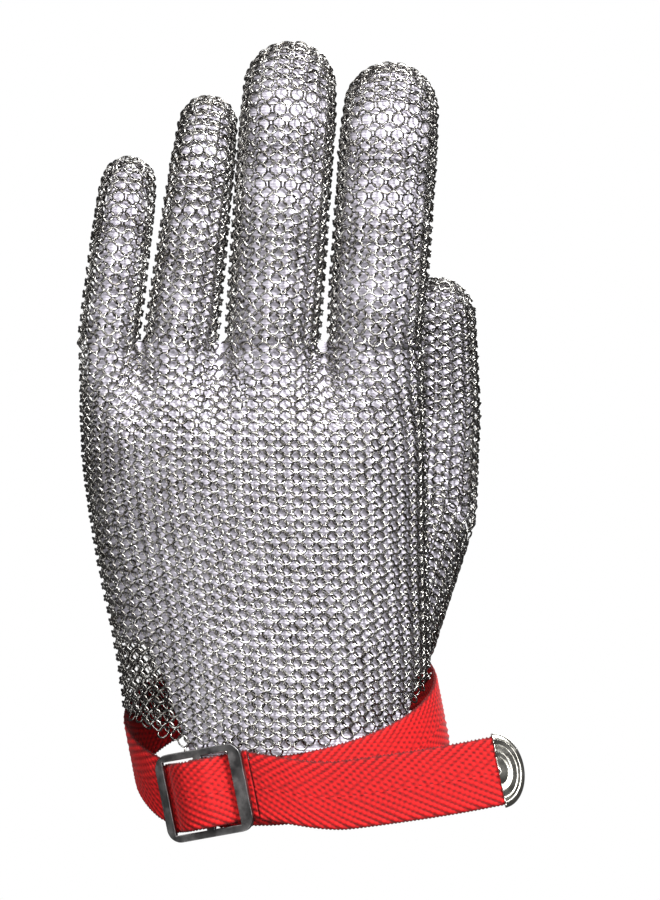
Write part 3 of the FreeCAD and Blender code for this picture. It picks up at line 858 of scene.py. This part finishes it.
def smooth_route(points, spacing=0.35):
    """Even points on a smooth line through these points, and their distances along it."""
    table = np.array([tuple(point) for point in points])
    spots = np.concatenate([[0], np.cumsum(np.linalg.norm(np.diff(table, axis=0), axis=1))])
    fine = np.arange(0, spots[-1], spacing / 4)
    route = np.zeros((len(fine), 3))
    slopes = np.gradient(table, spots, axis=0)
    for row, spot in enumerate(fine):
        k = min(int(np.searchsorted(spots, spot, side="right")) - 1, len(spots) - 2)
        gap = spots[k + 1] - spots[k]
        t = (spot - spots[k]) / gap
        route[row] = hermite(t, gap, table[k], slopes[k], table[k + 1], slopes[k + 1])
    along = np.concatenate([[0], np.cumsum(np.linalg.norm(np.diff(route, axis=0), axis=1))])
    even = np.linspace(0, along[-1], int(along[-1] / spacing) + 1)
    return np.stack([np.interp(even, along, route[:, k]) for k in range(3)], axis=1), even


def rib_height(along, across):
    """The herringbone's relief from 0 to 1: slanting ribs that meet in points along the middle."""
    folded = abs(across + 0.8)
    rib = 0.5 + 0.5 * math.cos(2 * math.pi * (along - 1.6 * folded) / RIB)
    bead = 0.5 + 0.5 * math.cos(2 * math.pi * (0.85 * along + 0.53 * folded) / BEAD)
    edge = min((STRAP_WIDTH / 2 - abs(across)) / 0.8, 1)
    return rib**0.7 * (0.55 + 0.45 * bead) * max(edge, 0)


def weave(name, route, starts, frames, relief=0.42, around=76):
    """Webbing along a line of places with frames (along, out, across), woven on both faces."""
    half = STRAP_WIDTH / 2
    core = STRAP_THICK / 2 - relief
    last_row = len(route) - 1
    mesh = bpy.data.meshes.new(name)
    strip = bmesh.new()
    bmesh.ops.create_grid(strip, x_segments=last_row, y_segments=around, size=0.5)
    # The relief is also kept as the attribute rib, which the shader turns into painted shade in the valleys.
    layer = strip.verts.layers.float.new("rib")
    for vertex in strip.verts:
        row = min(round((vertex.co.x + 0.5) * last_row), last_row)
        turn = (vertex.co.y + 0.5) * 2 * math.pi
        height = min(max(1.08 * math.cos(turn) * half, -half), half)
        side = math.copysign(1, math.sin(turn)) if abs(math.sin(turn)) > 1e-6 else 0
        bulge = rib_height(starts[row], height)
        thick = (core + relief * bulge) * min(abs(math.sin(turn)) * 3.2, 1) * side
        at_edge = abs(height) > half - 0.1
        edge_wave = 0.25 * math.cos(2 * math.pi * starts[row] / 1.05) if at_edge else 0
        run, out, up = frames[row]
        place = Vector(route[row]) + out * thick + up * (height - math.copysign(0.25, height) + edge_wave)
        vertex.co = place * MM
        vertex[layer] = bulge
    bmesh.ops.remove_doubles(strip, verts=strip.verts, dist=0.01 * MM)
    rims = [edge for edge in strip.edges if edge.is_boundary]
    bmesh.ops.holes_fill(strip, edges=rims, sides=0)
    bmesh.ops.recalc_face_normals(strip, faces=strip.faces)
    for face in strip.faces:
        face.smooth = len(face.verts) < 5
    strip.to_mesh(mesh)
    strip.free()
    mesh.materials.append(red_yarn)
    print(name, round(float(starts[-1])), "mm long,", len(mesh.polygons), "faces")
    return add_object(name, mesh)


def plan_frames(points, start_lift=0.0, end_lift=0.0, fade=24.0):
    """Places, distances and frames of a strip given in plan; its ends may rise to meet the slider."""
    route, spots = smooth_route(points)
    ahead = np.gradient(route, axis=0)
    frames = [strap_axes(Vector(way).normalized()) for way in ahead]
    places = []
    for point, spot in zip(route, spots):
        lift = start_lift * (1 - smooth(spot, 0, fade))
        lift += end_lift * smooth(spot, spots[-1] - fade, spots[-1])
        places.append(on_strap(Vector(point)) + STRAP_UP.normalized() * lift)
    return places, spots, frames


def slider_lift(along):
    """How far the slider, which sits square to the strap, stands above the strap's own line there."""
    straight = slider_place + slider_run * along
    return (straight - on_strap(at_slider(along, 0))).dot(STRAP_UP.normalized())


slider_run, slider_normal, slider_up = strap_axes(slider_ahead)
slider_place = on_strap(slider_spot)
LOOP_STARTS, LOOP_ENDS = 13, 22  # degrees from the slider, after it and before it
loop_turn = 360 - LOOP_STARTS - LOOP_ENDS
loop_route = [at_slider(1.5, STEP), at_slider(5, STEP / 3)]
loop_route += [loop_point(SLIDER_ANGLE + LOOP_STARTS + loop_turn * count / 36) for count in range(37)]
loop_route += [at_slider(SEAM - 0.8, STEP * 0.9), at_slider(SEAM, STEP)]
band = weave("strap_band_webbing", *plan_frames(loop_route, slider_lift(1.5), slider_lift(SEAM)))


def slider_frames(points):
    """Places, distances and frames of a strip drawn by distances along the slider and out of it."""
    route, spots = smooth_route([Vector((along, out, 0)) for along, out in points])
    ways = np.gradient(route, axis=0)
    places, frames = [], []
    for (along, out), way in zip(route[:, :2], ways):
        run = (slider_run * way[0] + slider_normal * way[1]).normalized()
        places.append(slider_place + slider_run * along + slider_normal * out)
        frames.append((run, run.cross(slider_up), slider_up))
    return places, spots, frames


fold_points = [
    (SEAM, STEP), (-10.2, STEP + 0.1), (-7.6, CREST - 2.8), (-4, CREST - 0.4), (0, CREST), (3, CREST - 0.6),
    (5, CREST - 2.6), (7, STEP + 0.8), (8.8, STEP), (11.4, STEP - 0.1), (14, STEP),
]
fold = weave("strap_fold_webbing", *slider_frames(fold_points))
eye_radius = BAR_REACH + STRAP_THICK / 2
eye_points = [
    (eye_radius * math.cos(math.radians(turn)), BAR_CENTRE + eye_radius * math.sin(math.radians(turn)))
    for turn in range(-60, 241, 20)
]
eye = weave("strap_eye_webbing", *slider_frames(eye_points))
for piece in (band, fold, eye):
    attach(piece, "hand")
    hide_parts("strap_band")

# The tail's rows are about a third of a millimetre each; its start meets the slider and levels out over 24
# mm.
tail_points = [at_slider(TAIL_START, STEP), at_slider(TAIL_START + 2.6, STEP)]
tail_points += [
    Vector((x, y, 0)) for x, y in ((-2, -36.6), (12, -38.2), (28, -38.8), (44, -38.6), (58, -37.6))
]
tail_places, tail_spots, tail_frames = plan_frames(tail_points, slider_lift(TAIL_START))
tail = weave("strap_tail_webbing", tail_places, tail_spots, tail_frames)
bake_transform(tail)
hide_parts("strap_tail")

# %% [markdown]
# ## Slider, keepers and tip
# The slider is one pressed plate, so a merged copy of the frame's plate with its edges rounded is all it
# needs. The keepers are bent wire, done the same way. The tip is a folded shell with raised rings. A
# stepped profile is spun through half a turn, mirrored and pressed into a half oval.

# %% Metal fittings
EDGE_ROUND = 0.35
SHARP = 0.9  # radians between the faces of an edge that is rounded


def merged_copy(name, node, material):
    """A copy of a frame's piece with its doubled corners merged and its sharp edges bevelled."""
    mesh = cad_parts[node].data.copy()
    mesh.name = name
    plate = bmesh.new()
    plate.from_mesh(mesh)
    bmesh.ops.remove_doubles(plate, verts=plate.verts, dist=0.005 * MM)
    bmesh.ops.dissolve_limit(plate, angle_limit=0.01, verts=plate.verts, edges=plate.edges)
    sharp = [edge for edge in plate.edges if len(edge.link_faces) == 2 and edge.calc_face_angle(0) > SHARP]
    bmesh.ops.bevel(
        plate, geom=sharp, offset=EDGE_ROUND * MM, segments=3, profile=0.5, affect="EDGES", material=-1,
        clamp_overlap=True,
    )
    bmesh.ops.recalc_face_normals(plate, faces=plate.faces)
    for face in plate.faces:
        face.smooth = True
    plate.to_mesh(mesh)
    plate.free()
    mesh.materials.clear()
    mesh.materials.append(material)
    piece = add_object(name, mesh)
    piece.modifiers.new("even shading", "WEIGHTED_NORMAL").keep_sharp = True
    return piece


slider = merged_copy("slide_buckle_plate", "slide_buckle", gunmetal)
keepers = merged_copy("strap_keeper_wires", "strap_keepers", bright_plate)
for piece, node, finish_slot in (
    (slider, "slide_buckle", "gunmetal"), (keepers, "strap_keepers", "keeper_wire"),
):
    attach(piece, "hand")
    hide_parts(node)

TIP_HALF, TIP_REACH, TIP_GRIP, TIP_THICK = 10.1, 5.5, 1.5, 2.6
last, before = tail_points[-1], tail_points[-2]
tip_run, tip_out, tip_up = strap_axes((last - before).normalized())
tip_origin = on_strap(last)
# From the rim inwards: how far out and how thick the shell is, as parts of its size. The crown is the last.
profile = [(1.0, 0.0), (0.985, 0.18), (0.95, 0.33), (0.88, 0.41), (0.81, 0.40), (0.76, 0.31), (0.70, 0.29)]
profile += [(0.62, 0.33), (0.55, 0.37), (0.47, 0.35), (0.40, 0.30), (0.32, 0.31), (0.22, 0.38), (0.10, 0.42)]
profile += [(0.0, 0.43)]
crown = profile[-1][1]
shell_mesh = bpy.data.meshes.new("strap_tip_shell")
press = bmesh.new()
chain = [press.verts.new((reach, thick, 0)) for reach, thick in profile]
for one, two in zip(chain, chain[1:]):
    press.edges.new((one, two))
bmesh.ops.spin(press, geom=press.verts[:] + press.edges[:], axis=(0, 1, 0), angle=math.pi, steps=40)
bmesh.ops.mirror(press, geom=press.verts[:] + press.edges[:] + press.faces[:], axis="Y", merge_dist=0.001)
bmesh.ops.remove_doubles(press, verts=press.verts, dist=0.0005)
open_side = [edge for edge in press.edges if edge.is_boundary]
bmesh.ops.holes_fill(press, edges=open_side, sides=0)
bmesh.ops.recalc_face_normals(press, faces=press.faces)
for face in press.faces:
    face.smooth = len(face.verts) < 5
for vertex in press.verts:
    # The half turn runs from one side to the other, so its middle points along the strap.
    across, thick, along = vertex.co
    place = tip_origin + tip_run * (abs(along) * (TIP_REACH + TIP_GRIP) - TIP_GRIP)
    place = place + tip_up * (across * TIP_HALF) + tip_out * (thick / crown * TIP_THICK / 2)
    vertex.co = place * MM
bmesh.ops.recalc_face_normals(press, faces=press.faces)
press.to_mesh(shell_mesh)
press.free()
shell_mesh.materials.append(bright_plate)
tip_shell = add_object("strap_tip_shell", shell_mesh)
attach(tip_shell, "strap_tail")
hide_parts("strap_tip")
for piece in (slider, keepers, tip_shell):
    print(piece.name, len(piece.data.polygons), "faces")

# %% [markdown]
# ## Light and backdrop
# A catalogue picture: soft boxes all round, the strongest from the upper right, and a pure white ground
# that only the camera sees. Steel shows what is round it, so the world that the rings mirror is grey with
# brighter boxes in it. That gives every ring one dark side and one bright side.

# %% Studio
def soft_box(name, place, width, height, power):
    """An area light at this place in metres that faces the glove; its power is in watts."""
    data = bpy.data.lights.new(name, "AREA")
    data.shape = "RECTANGLE"
    data.size, data.size_y = width, height
    data.energy = power
    box = add_object(name, data)
    box.location = place
    box.rotation_euler = (VIEW_CENTRE - Vector(place)).to_track_quat("-Z", "Y").to_euler()
    return box


boxes = [
    soft_box("key", (0.42, -0.8, 0.85), 0.35, 0.35, 30),
    soft_box("fill", (-0.8, -0.7, 0.45), 0.4, 0.6, 5),
    soft_box("top", (0.05, -0.4, 0.85), 0.6, 0.3, 10),
    soft_box("front", (0.0, -1.3, 0.1), 0.3, 0.3, 4.5),
    soft_box("low", (-0.3, -0.5, -0.6), 0.4, 0.2, 2.5),
    soft_box("behind", (0.3, 1.1, 0.5), 0.5, 0.5, 7),
]

world = bpy.data.worlds.new("studio")
world.use_nodes = True
bpy.context.scene.world = world
tree = world.node_tree
ground = tree.nodes["Background"]
ground.inputs["Color"].default_value = (0.62, 0.62, 0.63, 1)
ground.inputs["Strength"].default_value = 0.13
white = add_node(tree, "ShaderNodeBackground", Color=(1, 1, 1, 1), Strength=1.0)
ray = add_node(tree, "ShaderNodeLightPath")
seen = add_node(tree, "ShaderNodeMixShader")
wire(
    tree,
    (ray, "Is Camera Ray", seen, "Fac"),
    (ground, "Background", seen, 1),
    (white, "Background", seen, 2),
    (seen, "Shader", tree.nodes["World Output"], "Surface"),
)
bpy.context.scene.view_settings.view_transform = "Standard"
print("lights:", len(boxes))
